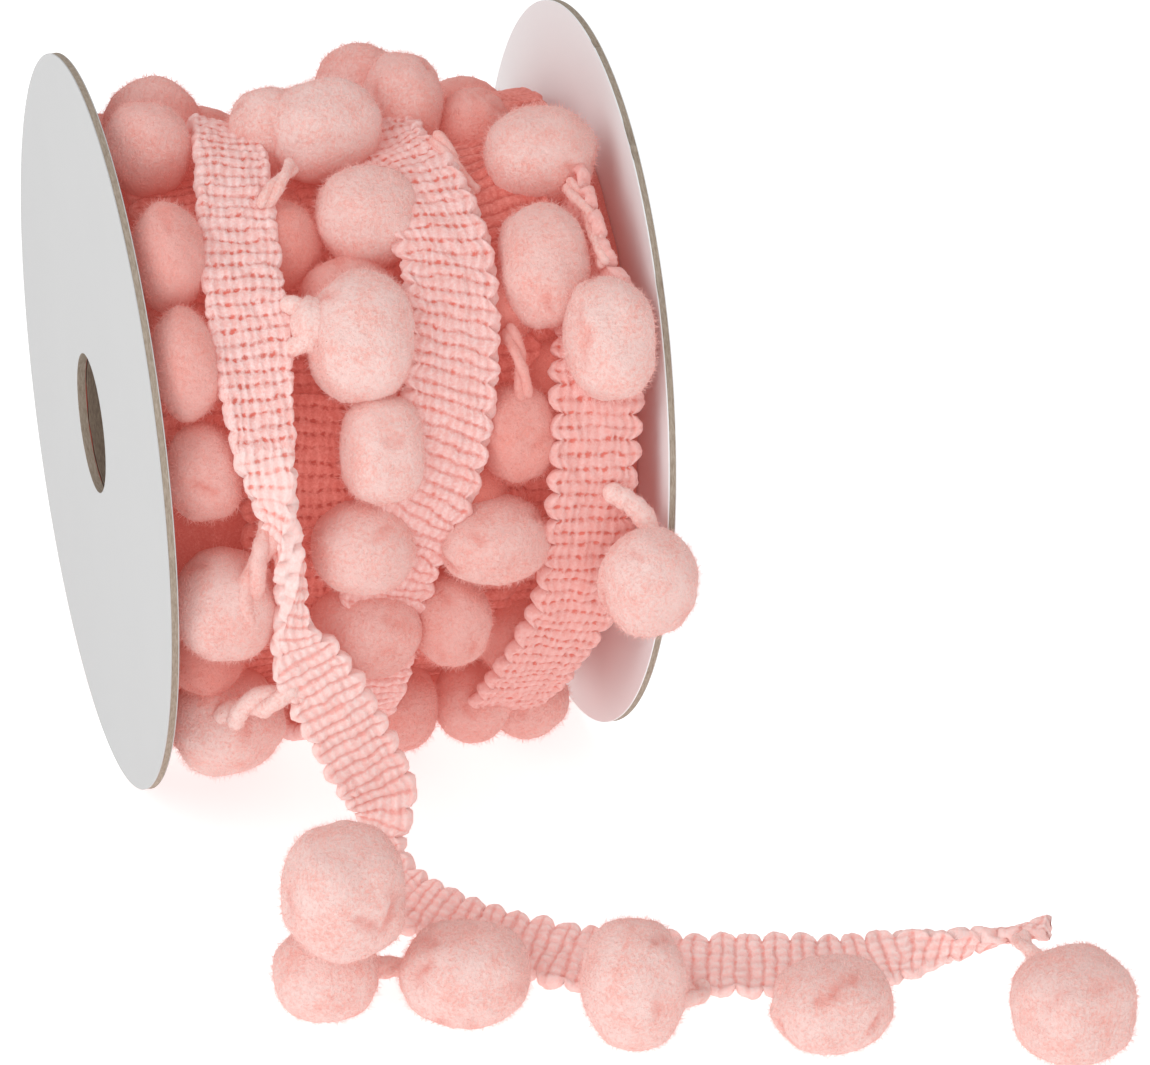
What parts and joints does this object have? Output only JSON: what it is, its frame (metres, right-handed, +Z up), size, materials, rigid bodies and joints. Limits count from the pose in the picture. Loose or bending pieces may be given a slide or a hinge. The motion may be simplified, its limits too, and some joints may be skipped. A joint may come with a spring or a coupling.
{
  "type": "pompom fringe trim on a cardboard reel",
  "caption": "Narrow scalloped tape with round soft pompoms, wound on a small board reel that stands on its round rims, with the loose end twisting down and lying in front.",
  "frame": {"origin": "on the surface, under the middle of the outline of the reel and its loose end", "axes": "+X along the reel's axis towards its right flange, -Y towards the loose end in front, +Z up"},
  "size_m": [0.1132, 0.1775, 0.1049],
  "materials": {
    "tape_cotton": "soft corded cotton tape, matt",
    "pompom_wool": "felted pompom yarn, matt and fuzzy",
    "grey_board": "smooth pale grey paper face, raw brown-grey edge",
    "core_board": "raw brown board tube, matt"
  },
  "bodies": {
    "root": {"flange_left": "grey_board", "flange_right": "grey_board", "core_tube": "core_board", "wound_trim": "pompom_wool", "loose_tape": "tape_cotton", "loose_pompom_1": "pompom_wool", "loose_pompom_2": "pompom_wool", "loose_pompom_3": "pompom_wool", "loose_pompom_4": "pompom_wool", "loose_pompom_5": "pompom_wool", "loose_pompom_6": "pompom_wool"}
  },
  "joints": []
}
